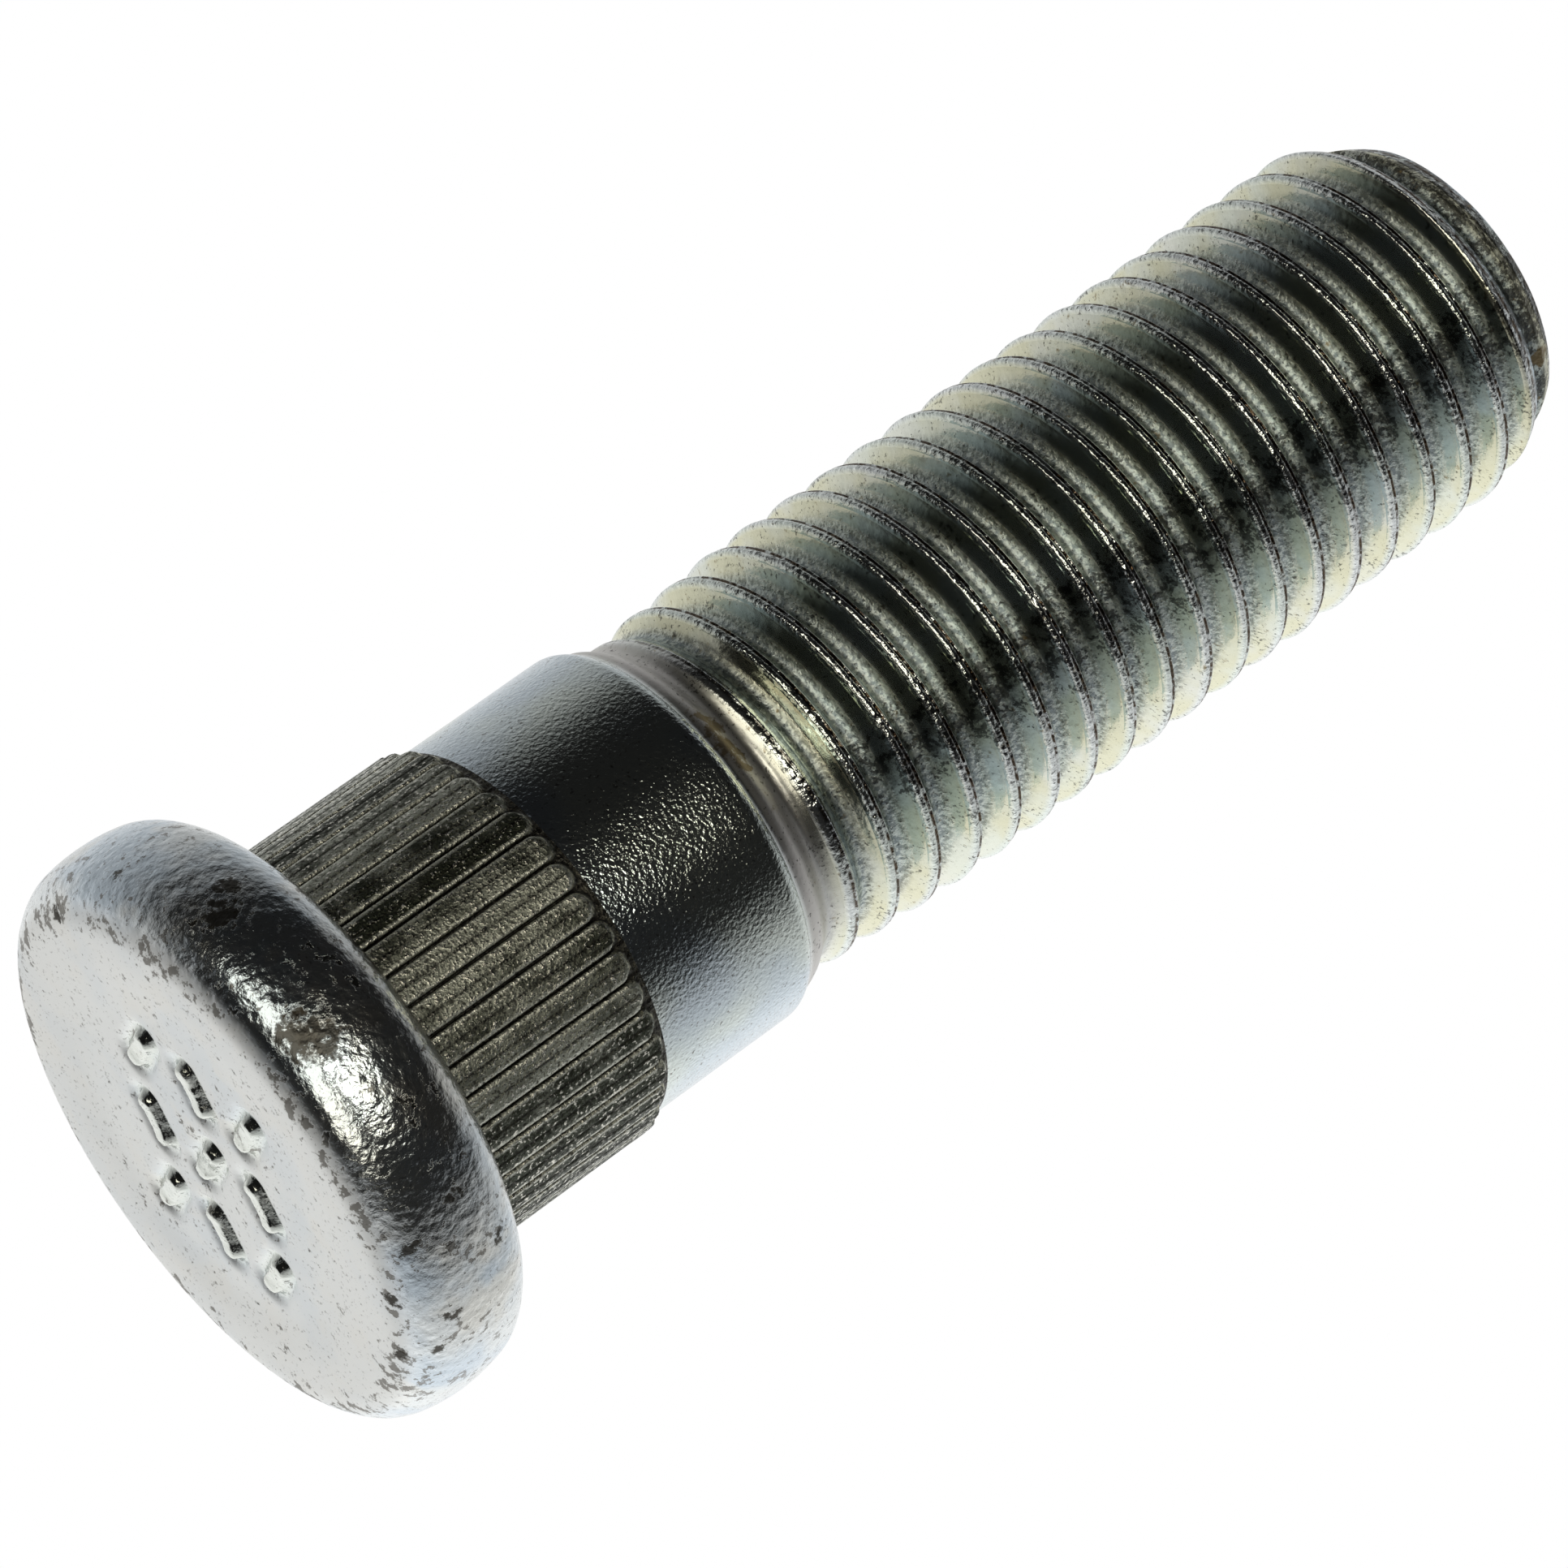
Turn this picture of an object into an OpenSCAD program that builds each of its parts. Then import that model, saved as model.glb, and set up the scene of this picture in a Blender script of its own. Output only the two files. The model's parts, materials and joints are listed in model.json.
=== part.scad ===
// Press-in wheel stud: one cold-forged piece with a round head, a serrated shank,
// a plain collar, a short neck and a rolled right-hand thread with a tapered tip.
// It stands on the outer face of its head. The origin is the centre of that face,
// and +Z runs up the shank to the tip. All sizes are in millimetres.

/* [Head] */
// Diameter of the round head
head_d = 18.2; // [17:0.1:24]
// Thickness of the head
head_t = 4.5; // [3.6:0.1:7]
// Rounding between the outer face and the rim
face_round = 1.5; // [0.4:0.05:1.8]
// Rounding between the rim and the seat
seat_round = 1.5; // [0.4:0.05:1.7]
// Diameter of the shallow dish that holds the raised marks
dish_d = 13; // [12:0.1:13.4]
// Depth of the dish, which is also the height of the marks
dish_depth = 0.12; // [0.08:0.01:0.3]

/* [Head marks] */
// Number of rows of raised marks
mark_rows = 3; // [2:1:3]
// Number of marks in a row
row_marks = 3; // [2:1:4]
// Distance between neighbouring rows
row_gap = 2.9; // [2.4:0.1:3]
// Distance between neighbouring marks in a row
mark_gap = 2.3; // [1.8:0.1:2.4]
// Angle of the rows from the X axis
row_turn = 45; // [0:5:90]
// Length of the straight part of a mark
mark_len = 1.1; // [0.4:0.1:1.4]
// Width of a mark
mark_w = 0.6; // [0.3:0.05:0.8]
// Angle by which the marks lean, to one side and the other in turn
mark_lean = 28; // [0:1:45]

/* [Serrated shank] */
// Diameter over the serrations
knurl_d = 12.75; // [12.5:0.05:14]
// Distance from the seat to the end of the serrations
knurl_end = 6.9; // [4:0.1:9]
// Number of serrations
knurl_n = 40; // [24:1:44]
// Width of the groove between two serrations, at the outside
groove_w = 0.18; // [0.1:0.01:0.2]
// How far the bottom of each groove stays above the collar's surface
groove_floor = 0.03; // [0.01:0.01:0.1]
// Length of the chamfer that ends the serrations
knurl_chamfer = 0.45; // [0.2:0.05:1]
// Radius of the fillet between the shank and the seat
seat_fillet = 0.4; // [0.2:0.05:0.8]

/* [Collar and neck] */
// Diameter of the plain collar
collar_d = 12.2; // [12:0.05:12.4]
// Distance from the seat to the end of the collar
collar_end = 12.6; // [10:0.1:13]
// Rounding of the collar's shoulder
shoulder_round = 0.55; // [0.2:0.05:0.6]
// Length of the cone from the shoulder down to the neck
shoulder_len = 0.7; // [0.3:0.1:1]
// Diameter of the neck, which is the blank that the thread is rolled from
neck_d = 10.95; // [10.9:0.05:11.1]

/* [Thread] */
// Diameter over the thread's crests
thread_d = 11.86; // [11.7:0.01:11.97]
// Distance from one turn of the thread to the next
thread_pitch = 1.5; // [1.25:0.25:1.75]
// Depth of the thread's groove below its crests
thread_depth = 0.9; // [0.7:0.01:0.95]
// Width of the crest
crest_w = 0.26; // [0.15:0.01:0.35]
// How far inside the neck's surface the thread's first turns begin
thread_sink = 0.07; // [0.02:0.01:0.1]
// Distance from the seat to where the thread starts
thread_start = 14.2; // [14.1:0.1:16]
// Length over which the first turns rise to full height
run_out = 2.4; // [1.5:0.1:4]
// Distance from the seat to the tip
shank_len = 43; // [34:0.5:60]
// Diameter of the flat end of the tip
tip_d = 9.4; // [8.6:0.1:9.8]
// Length of the tip's taper
tip_taper = 2.3; // [1:0.1:3]

/* [Hidden] */

$fn = 96;
zinc_steel = [0.70, 0.72, 0.72];
lap = 0.2;             // how far joined solids reach into each other

head_r = head_d / 2;
seat_z = head_t;
knurl_r = knurl_d / 2;
collar_r = collar_d / 2;
neck_r = neck_d / 2;
crest_r = thread_d / 2;
tip_r = tip_d / 2;
tip_z = seat_z + shank_len;
shoulder_z = seat_z + collar_end;
neck_z = shoulder_z + shoulder_len;
thread_z = seat_z + thread_start;
flank_w = thread_depth * tan(30);   // each flank leans 30 degrees from the radius

// Each groove is a V whose sides are carried on past the serrations' surface
groove_floor_r = collar_r + groove_floor;
groove_open_r = knurl_r + lap;
groove_open_w = groove_w * (groove_open_r - groove_floor_r) / (knurl_r - groove_floor_r);

// The thread's rows of points: 36 to a turn, 4 across each ridge
steps = 36;
buried_r = neck_r - thread_sink;
first_z = thread_z - thread_pitch - lap;
turns = ceil((tip_z - first_z) / thread_pitch) + 1;
ridge = [
    [-crest_w / 2, 0],
    [crest_w / 2, 0],
    [crest_w / 2 + flank_w, thread_depth],
    [thread_pitch - crest_w / 2 - flank_w, thread_depth]
];
rows = turns * len(ridge);

// How much of its full height the thread has reached at a height z
function rise(z) = min(1, max(0, (z - thread_z) / run_out));

function thread_r(depth, z) = buried_r + (crest_r - depth - buried_r) * rise(z);

function thread_point(step, row) =
    let (p = ridge[row % len(ridge)],
         z = first_z + thread_pitch * (floor(row / len(ridge)) + step / steps) + p[0],
         r = thread_r(p[1], z),
         a = 360 * step / steps)
    [r * cos(a), r * sin(a), z];

// One full turn on, a row meets the row one ridge higher
function point_id(step, row) =
    step < steps ? row * steps + step : (row + len(ridge)) * steps;

function cell(step, row) = [
    [point_id(step, row), point_id(step, row + 1), point_id(step + 1, row)],
    [point_id(step + 1, row), point_id(step, row + 1), point_id(step + 1, row + 1)]
];

function last_row(step) = step < steps - 1 ? rows - 2 : rows - 2 - len(ridge);

module head() {
    difference() {
        rotate_extrude() {
            square([head_r - face_round, head_t - seat_round]);
            translate([0, face_round])
                square([head_r, head_t - face_round - seat_round]);
            translate([0, face_round]) square([head_r - seat_round, head_t - face_round]);
            translate([head_r - face_round, face_round]) circle(face_round);
            translate([head_r - seat_round, head_t - seat_round]) circle(seat_round);
        }
        translate([0, 0, -lap]) cylinder(d = dish_d, h = lap + dish_depth);
    }
}

// Plain raised bars that lean to one side and the other in turn
module mark() {
    linear_extrude(dish_depth + lap) {
        square([mark_w, mark_len], center = true);
        for (side = [-1, 1]) translate([0, side * mark_len / 2]) circle(d = mark_w);
    }
}

module head_marks() {
    rotate(row_turn) for (row = [0 : mark_rows - 1], i = [0 : row_marks - 1])
        translate([(i - (row_marks - 1) / 2) * mark_gap, (row - (mark_rows - 1) / 2) * row_gap, 0])
            rotate((row + i) % 2 == 0 ? mark_lean : -mark_lean) mark();
}

module serrations() {
    intersection() {
        translate([0, 0, seat_z]) linear_extrude(knurl_end) difference() {
            circle(knurl_r);
            for (i = [0 : knurl_n - 1])
                rotate(i * 360 / knurl_n) polygon([
                    [groove_floor_r, 0],
                    [groove_open_r, -groove_open_w / 2],
                    [groove_open_r, groove_open_w / 2]
                ]);
        }
        rotate_extrude() polygon([
            [0, 0],
            [knurl_r + lap, 0],
            [knurl_r + lap, seat_z + knurl_end - knurl_chamfer],
            [knurl_r, seat_z + knurl_end - knurl_chamfer],
            [collar_r - lap, seat_z + knurl_end + lap],
            [0, seat_z + knurl_end + lap]
        ]);
    }
}

module shank() {
    rotate_extrude() {
        translate([0, seat_z - lap]) square([collar_r, collar_end + lap - shoulder_round]);
        translate([collar_r, seat_z]) difference() {
            translate([-lap, -lap]) square(seat_fillet + lap);
            translate([seat_fillet, seat_fillet]) circle(seat_fillet);
        }
        translate([collar_r - shoulder_round, shoulder_z - shoulder_round]) circle(shoulder_round);
        polygon([
            [0, seat_z],
            [collar_r - shoulder_round, seat_z],
            [collar_r - shoulder_round, shoulder_z],
            [neck_r, neck_z],
            [neck_r, thread_z],
            [0, thread_z]
        ]);
    }
}

module thread() {
    intersection() {
        polyhedron(
            points = concat(
                [for (row = [0 : rows - 1], step = [0 : steps - 1]) thread_point(step, row)],
                [[0, 0, first_z], [0, 0, first_z + turns * thread_pitch]]
            ),
            faces = concat(
                [for (step = [0 : steps - 1], row = [0 : last_row(step)], t = cell(step, row)) t],
                [for (step = [0 : steps - 1])
                    [point_id(step, 0), point_id(step + 1, 0), rows * steps]],
                [for (row = [0 : len(ridge) - 1])
                    [point_id(0, row + 1), point_id(0, row), rows * steps]],
                [for (step = [0 : steps - 2])
                    [point_id(step + 1, rows - 1), point_id(step, rows - 1), rows * steps + 1]],
                [for (row = [rows - 1 - len(ridge) : rows - 2])
                    [point_id(steps - 1, row), point_id(steps - 1, row + 1), rows * steps + 1]],
                [[point_id(0, rows - 1), point_id(steps - 1, rows - 1 - len(ridge)), rows * steps + 1]]
            )
        );
        rotate_extrude() polygon([
            [0, 0],
            [crest_r + lap, 0],
            [crest_r + lap, tip_z - tip_taper],
            [crest_r, tip_z - tip_taper],
            [tip_r, tip_z],
            [0, tip_z]
        ]);
    }
}

module wheel_stud() {
    color(zinc_steel) union() {
        head();
        head_marks();
        serrations();
        shank();
        thread();
    }
}

wheel_stud();
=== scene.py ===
import json
import math

import bmesh
import bpy
import numpy as np
from mathutils import Matrix, Vector, noise


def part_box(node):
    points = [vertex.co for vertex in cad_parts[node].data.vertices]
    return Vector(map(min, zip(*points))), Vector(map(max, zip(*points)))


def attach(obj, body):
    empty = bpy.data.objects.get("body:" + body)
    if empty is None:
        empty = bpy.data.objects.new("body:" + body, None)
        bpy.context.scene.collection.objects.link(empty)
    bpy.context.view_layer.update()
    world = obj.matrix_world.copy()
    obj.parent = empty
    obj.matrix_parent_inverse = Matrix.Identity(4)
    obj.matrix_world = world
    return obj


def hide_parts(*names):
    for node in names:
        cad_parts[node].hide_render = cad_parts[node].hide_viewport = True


# The whole stud is one skin of points and faces, worked out in millimetres in the row frame:
# +Z runs up the shank, and the head's outer face is at z = 0.
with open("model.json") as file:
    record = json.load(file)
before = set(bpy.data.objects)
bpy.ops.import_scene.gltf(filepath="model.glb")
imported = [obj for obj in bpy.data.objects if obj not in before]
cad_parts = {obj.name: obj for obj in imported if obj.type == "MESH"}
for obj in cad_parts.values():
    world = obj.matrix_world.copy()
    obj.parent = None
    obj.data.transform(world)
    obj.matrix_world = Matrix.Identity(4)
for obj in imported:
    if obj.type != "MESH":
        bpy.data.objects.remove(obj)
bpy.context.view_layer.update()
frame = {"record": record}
mounts = {mount["name"]: mount for mount in frame["record"]["mounts"]}
MM = 0.001


def mount_r(name):
    """Radius of a mount, in millimetres."""
    return mounts[name]["dims"]["r_mm"]


# Sizes taken from the frame
HEAD_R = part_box("wheel_stud")[1].x / MM
TIP_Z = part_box("wheel_stud")[1].z / MM
SEAT_Z = mounts["seat"]["pos_m"][2] / MM
KNURL_R = mount_r("serrated_shank")
COLLAR_R = mount_r("collar")
CREST_R = mount_r("thread")

# Points in a ring round the axis
HEAD_COLUMNS = 256
THREAD_COLUMNS = 120

# Outer face: a shallow dish. Its rings lie close together where the marks are, and have fewer points
# near the middle.
DISH_R = 6.9
DISH_EDGE = 2.2
DISH_DEPTH = 0.12
MARKS_R = 5.5
FIRST_RING_R = 0.45
RING_STEP = 0.08
OUTER_STEP = 0.35
LEAST_COLUMNS = 16
LEAST_SPACING = 0.06

# Raised marks: plain bars in rows that run at an angle to the X axis, each in a shallow moat
MARK_ROWS = 3
ROW_MARKS = 3
ROW_GAP = 2.9
MARK_GAP = 2.3
ROW_TURN = math.radians(45)
MARK_LEAN = math.radians(28)
MARK_LEN = 1.1
MARK_W = 0.6
MARK_WALL = 0.09
MARK_WAIST = 0.3
WAIST_REACH = 0.3
MOAT_R = 0.5
MOAT_W = 0.2
MOAT_DEPTH = 0.17

# Rim: it bulges a little between its two roundings. The dents start a little way outside the centres
# of the roundings.
HEAD_ROUND = 1.5
ROUND_STEPS = 12
RIM_SLOPE = math.radians(12)
BULGE_STEPS = 7
RIM_SPARE = 0.02
DENT_START = 0.2
DENT_FULL = 1.0
DENT_SPARE = 0.02
SEAT_RINGS = (7.2, 6.9, 6.7)

# How uneven the forged and rolled surfaces are: depth of the bumps, their size and their seed
RIM_BUMPS = [(0.014, 1.6, 3.0), (0.008, 0.8, 9.0)]
KNURL_BUMPS = [(0.008, 0.5, 5.0)]
COLLAR_BUMPS = [(0.008, 1.3, 7.0)]
TIP_BUMPS = [(0.008, 1.1, 2.0)]

# Serrations: each ends in a round shape at the collar, at a height that varies a little
KNURL_N = 40
KNURL_TOP = SEAT_Z + 6.9
GROOVE_DEPTH = 0.245
END_DROP = 0.3
END_CORNER = 0.4
END_JITTER = 0.07
RIB_STEP = 0.8
END_LEN = 0.8
END_STEP = 0.08
END_OVER = 0.15

# Feet of the serrations: heights of their rings above the seat, and how they rise out of its fillet
SEAT_FILLET = 0.4
FOOT_RINGS = (0, 0.06, 0.15, 0.25, 0.35, 0.5, 0.9)
FOOT_START = 0.12
FOOT_JITTER = 0.06
FOOT_LEN = 0.25

# Half of a serration: distance from its middle as a share of its width, and depth below its top
SERRATION = [
    (0, 0.035), (0.03, 0.015), (0.07, 0.0), (0.18, 0.006), (0.3, 0.014), (0.39, 0.012), (0.435, 0.03),
    (0.47, 0.13), (0.5, GROOVE_DEPTH),
]

# Collar and its rounded shoulder
COLLAR_START = KNURL_TOP + 0.25
COLLAR_RINGS = 8
SHOULDER_Z = SEAT_Z + 12.6
SHOULDER_ROUND = 0.55
SHOULDER_TURN = math.radians(57)
SHOULDER_STEPS = 7

# Neck: a concave fillet narrows from the shoulder down to it
NECK_R = 5.475
NECK_FILLET = 0.35
FILLET_LEN = 1.1
FILLET_Z = SHOULDER_Z + 0.05

# Thread: its first turns rise out of the neck, in a quick step and then slowly to full height
PITCH = 1.5
THREAD_Z = SEAT_Z + 14.4
CREST_SHIFT = 0.2
FIRST_CREST_Z = THREAD_Z - 2 * PITCH - CREST_SHIFT
THREAD_WEAR = 0.06
STEP_SHARE = 0.35
STEP_START = 0.4
STEP_END = 0.3
RISE_LEN = 5.0
GROOVE_START = 1.5
GROOVE_RUN = 3.4
NICK_DEPTH = 0.012
NICKED_TO = 0.05

# The thread's profile over one turn: distance from the crest's middle toward the tip, and depth below
# the crest. The crest has the shallow seam that rolling leaves, and the root is rounded.
PROFILE = [
    (-0.75, 0.9), (-0.63, 0.87), (-0.51, 0.74), (-0.39, 0.52), (-0.29, 0.32), (-0.22, 0.17),
    (-0.165, 0.07), (-0.115, 0.015), (-0.06, 0.0), (-0.01, 0.0), (0.04, 0.018), (0.085, 0.065),
    (0.125, 0.03), (0.165, 0.045), (0.21, 0.11), (0.35, 0.4), (0.5, 0.72), (0.62, 0.87),
]

# Tip: its taper cuts the crests off, and faint ridges run on over it
TIP_R = 4.7
TIP_TAPER = 2.3
TIP_ROUND = 0.35
RIDGE_SHARE = 0.2
RIDGE_END = 0.3
TAPER_BLEND = 0.08

# Rounded edge of the tip: distance in from the end of the taper, and depth below the tip
TIP_EDGE = [(0, TIP_ROUND), (0.12, 0.16), (0.27, 0.05), (0.45, 0.01), (0.8, 0.01)]
TIP_HOLLOW = 0.03
TIP_MIDDLE = (2.4, 0.9)

# Heights at which the thread's sheet is cut off level, and how close counts as the same height
LOW_CUT = SHOULDER_Z + 0.15
HIGH_CUT = TIP_Z - TIP_ROUND - 0.05
CUT_MERGE = 1e-5
CUT_NEAR = 1e-4


def smooth(value, low, high):
    """0 below low, 1 above high, and a smooth step between them."""
    t = np.clip((np.asarray(value, float) - low) / (high - low), 0, 1)
    return t * t * (3 - 2 * t)


def fall(value, low, high):
    """1 below low, 0 above high, and a smooth step between them."""
    return 1 - smooth(value, low, high)


def stretch(value, start, full, fading, end):
    """1 from full to fading, and 0 before start and after end."""
    return smooth(value, start, full) * fall(value, fading, end)


def near(value, middle, full, end):
    """1 within full of the middle, and 0 beyond end of it."""
    return fall(np.abs(value - middle), full, end)


def soft_min(a, b, width):
    """The smaller of two values, rounded where they cross."""
    h = np.clip(0.5 + 0.5 * (b - a) / width, 0, 1)
    return b + (a - b) * h - width * h * (1 - h)


def bumps(points, layers):
    """Smooth noise at each point, added up from layers of a depth, a size and a seed."""
    total = np.zeros(len(points))
    for depth, size, seed in layers:
        shift = Vector((seed, 2.7 * seed, -1.3 * seed))
        total += depth * np.array([noise.noise(Vector(p) / size + shift) for p in points])
    return total


def push_out(points, radius, distance):
    """Moves points away from the axis. Both values may be one number or one for each point."""
    points[:, :2] *= 1 + np.reshape(distance, (-1, 1)) / np.reshape(radius, (-1, 1))


def ring(radius, z, angle):
    """Points round the axis. The radius and the height may be one number or one for each angle."""
    return np.stack([radius * np.cos(angle), radius * np.sin(angle), z + 0 * angle], 1)


def even_angles(columns):
    """That many angles, evenly round the axis from 0."""
    return np.arange(columns) * math.tau / columns


class Skin:
    """The stud's points in millimetres and its faces, built up loop by loop from the face to the tip."""

    def __init__(self):
        self.points, self.faces, self.parts = [], [], []

    def loop(self, points):
        first = len(self.points)
        self.points.extend(tuple(p) for p in points)
        return list(range(first, first + len(points)))

    def face(self, corners, part):
        self.faces.append(tuple(corners))
        self.parts.append(part)

    def band(self, low, high, part):
        """Four-sided faces between two loops of as many points."""
        n = len(low)
        for j in range(n):
            k = (j + 1) % n
            self.face((low[j], low[k], high[k], high[j]), part)

    def angles(self, loop):
        """The loop turned so that its angles rise from 0, and those angles, both with the first one again."""
        a = [math.atan2(self.points[i][1], self.points[i][0]) % math.tau for i in loop]
        start = a.index(min(a))
        return loop[start:] + loop[:start + 1], a[start:] + a[:start] + [a[start] + math.tau]

    def join(self, low, high, part):
        """Triangles between two loops of any number of points, matched by their angle about Z."""
        low, low_a = self.angles(low)
        high, high_a = self.angles(high)
        i = j = 0
        while i < len(low) - 1 or j < len(high) - 1:
            step_low = j == len(high) - 1 or (i < len(low) - 1 and low_a[i + 1] <= high_a[j + 1])
            if step_low:
                self.face((low[i], low[i + 1], high[j]), part)
                i += 1
            else:
                self.face((low[i], high[j + 1], high[j]), part)
                j += 1

    def connect(self, low, high, part):
        """Faces between two loops: four-sided where they have as many points, and else triangles."""
        if len(low) == len(high):
            self.band(low, high, part)
        else:
            self.join(low, high, part)

    def close(self, loop, centre, part):
        """Triangles from a loop to a point at its middle. The loop's points run the way the faces need."""
        middle = self.loop([centre])[0]
        for j in range(len(loop)):
            self.face((loop[j], loop[(j + 1) % len(loop)], middle), part)


def nearest_mark(points):
    """Distance of each point from the middle line of the nearest mark, and how far along that line it is."""
    nearest = np.full(len(points), np.inf)
    reach = np.zeros(len(points))
    turn = np.array([[math.cos(ROW_TURN), math.sin(ROW_TURN)], [-math.sin(ROW_TURN), math.cos(ROW_TURN)]])
    flat = points[:, :2] @ turn.T
    for row in range(MARK_ROWS):
        for i in range(ROW_MARKS):
            lean = MARK_LEAN if (row + i) % 2 == 0 else -MARK_LEAN
            line = np.array([-math.sin(lean), math.cos(lean)])
            middle = np.array([(i - (ROW_MARKS - 1) / 2) * MARK_GAP, (row - (MARK_ROWS - 1) / 2) * ROW_GAP])
            offset = flat - middle
            along = offset @ line
            on_line = np.clip(along, -MARK_LEN / 2, MARK_LEN / 2)
            distance = np.hypot(*(offset - on_line[:, None] * line).T)
            reach = np.where(distance < nearest, along, reach)
            nearest = np.minimum(distance, nearest)
    return nearest, reach


def face_height(points, dish):
    """Height of the outer face at these points. Each raised mark stands in its own shallow moat."""
    distance, reach = nearest_mark(points)
    bar = fall(distance, MARK_W / 2 - MARK_WALL, MARK_W / 2 + MARK_WALL)
    waist = 1 - MARK_WAIST * fall(np.abs(reach), WAIST_REACH, MARK_LEN / 2)
    moat = np.exp(-((distance - MOAT_R) / MOAT_W) ** 2)
    return (DISH_DEPTH * dish + MOAT_DEPTH * moat) * (1 - bar * waist)


def face_rings(skin):
    """The outer face, from its middle to the start of the rim's rounding."""
    edge_r = rim_centre_r()
    radii = [*np.arange(FIRST_RING_R, MARKS_R, RING_STEP), *np.arange(MARKS_R, edge_r, OUTER_STEP), edge_r]
    last = None
    for radius in radii:
        columns = HEAD_COLUMNS
        while columns > LEAST_COLUMNS and math.tau * radius / columns < LEAST_SPACING:
            columns //= 2
        points = ring(radius, 0.0, even_angles(columns))
        points[:, 2] = face_height(points, fall(radius, DISH_R - DISH_EDGE, DISH_R))
        loop = skin.loop(points)
        if last is None:
            skin.close(loop[::-1], (0, 0, points[:, 2].mean()), "head")
        else:
            skin.connect(last, loop, "head")
        last = loop
    return last


def rim_bulge():
    """Radius of the arc between the two roundings, and how far it stands out of them."""
    half = SEAT_Z / 2 - HEAD_ROUND + HEAD_ROUND * math.sin(RIM_SLOPE)
    radius = half / math.sin(RIM_SLOPE)
    return radius, radius * (1 - math.cos(RIM_SLOPE))


def rim_centre_r():
    """Radius at which the roundings of the rim have their centres."""
    return HEAD_R - RIM_SPARE - rim_bulge()[1] - HEAD_ROUND * math.cos(RIM_SLOPE)


def rim_profile():
    """Radius and height along the rim, from the outer face to the seat."""
    centre_r = rim_centre_r()
    bulge_r, _ = rim_bulge()
    turns = np.linspace(-math.pi / 2, -RIM_SLOPE, ROUND_STEPS)[1:]
    low = [(centre_r + HEAD_ROUND * math.cos(a), HEAD_ROUND + HEAD_ROUND * math.sin(a)) for a in turns]
    middle_r = centre_r + (HEAD_ROUND - bulge_r) * math.cos(RIM_SLOPE)
    middle = [(middle_r + bulge_r * math.cos(a), SEAT_Z / 2 + bulge_r * math.sin(a))
              for a in np.linspace(-RIM_SLOPE, RIM_SLOPE, BULGE_STEPS)[1:-1]]
    high = [(r, SEAT_Z - z) for r, z in reversed(low)]
    return low + middle + high + [(centre_r, SEAT_Z)]


def head_rings(skin):
    """The head: face, rim and seat. The rim is a little uneven, as a forged one is."""
    last = face_rings(skin)
    start_r = rim_centre_r()
    for radius, z in rim_profile() + [(r, SEAT_Z) for r in SEAT_RINGS]:
        points = ring(radius, z, even_angles(HEAD_COLUMNS))
        share = smooth(radius, start_r + DENT_START, start_r + DENT_FULL)
        push_out(points, radius, share * (bumps(points, RIM_BUMPS) - DENT_SPARE))
        loop = skin.loop(points)
        skin.connect(last, loop, "head")
        last = loop
    return last


def serration_columns():
    """Angle, depth and distance from the middle of its serration, for each column of the serrated part."""
    half = [(-x, depth) for x, depth in reversed(SERRATION[1:])]
    across = half + SERRATION[:-1]
    width = math.tau / KNURL_N
    rows = [((i + 0.5 + x) * width, depth, x) for i in range(KNURL_N) for x, depth in across]
    return np.array(rows).T


def knurl_heights():
    """Heights of the rings of the serrated part: close together at both ends, and wider apart between."""
    foot = [SEAT_Z + height for height in FOOT_RINGS]
    middle = np.arange(SEAT_Z + 2 * RIB_STEP, KNURL_TOP - END_LEN, RIB_STEP)
    end = np.arange(KNURL_TOP - END_LEN, KNURL_TOP + END_OVER, END_STEP)
    return [*foot, *middle, *end]


def knurl_rings(skin, last):
    """The serrated part. Each serration ends round at the collar and runs into the seat's fillet."""
    angle, depth, across = serration_columns()
    index = np.floor(angle / (math.tau / KNURL_N))
    jitter = END_JITTER * np.sin(index * 5.1 + 0.7 * index ** 1.5)
    end_z = KNURL_TOP + jitter - END_CORNER * (np.abs(across) / 0.5) ** 3
    foot_z = SEAT_Z + FOOT_START + FOOT_JITTER * np.sin(index * 3.3)
    for z in knurl_heights():
        top = smooth(end_z - z, 0, END_DROP)
        foot = smooth(z, foot_z, foot_z + FOOT_LEN)
        reach = SEAT_FILLET - min(SEAT_FILLET, z - SEAT_Z)
        fillet = COLLAR_R + SEAT_FILLET - math.sqrt(SEAT_FILLET ** 2 - reach ** 2)
        land = KNURL_R - depth * foot
        radius = np.maximum(COLLAR_R + (land - COLLAR_R) * top, fillet)
        points = ring(radius, z, angle)
        push_out(points, radius, bumps(points, KNURL_BUMPS) * top)
        loop = skin.loop(points)
        skin.connect(last, loop, "knurl")
        last = loop
    return last


def collar_rings(skin, last):
    """The plain collar and its rounded shoulder, up to the start of the neck's fillet."""
    arc_r, arc_z = COLLAR_R - SHOULDER_ROUND, SHOULDER_Z - SHOULDER_ROUND
    profile = [(COLLAR_R, z) for z in np.linspace(COLLAR_START, arc_z, COLLAR_RINGS)]
    profile += [(arc_r + SHOULDER_ROUND * math.cos(a), arc_z + SHOULDER_ROUND * math.sin(a))
                for a in np.linspace(0, SHOULDER_TURN, SHOULDER_STEPS)[1:]]
    for radius, z in profile:
        points = ring(radius, z, even_angles(HEAD_COLUMNS))
        push_out(points, radius, bumps(points, COLLAR_BUMPS))
        loop = skin.loop(points)
        skin.connect(last, loop, "collar")
        last = loop
    loop = skin.loop(ring(NECK_R + NECK_FILLET, FILLET_Z, even_angles(THREAD_COLUMNS)))
    skin.connect(last, loop, "thread")
    return loop


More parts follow.
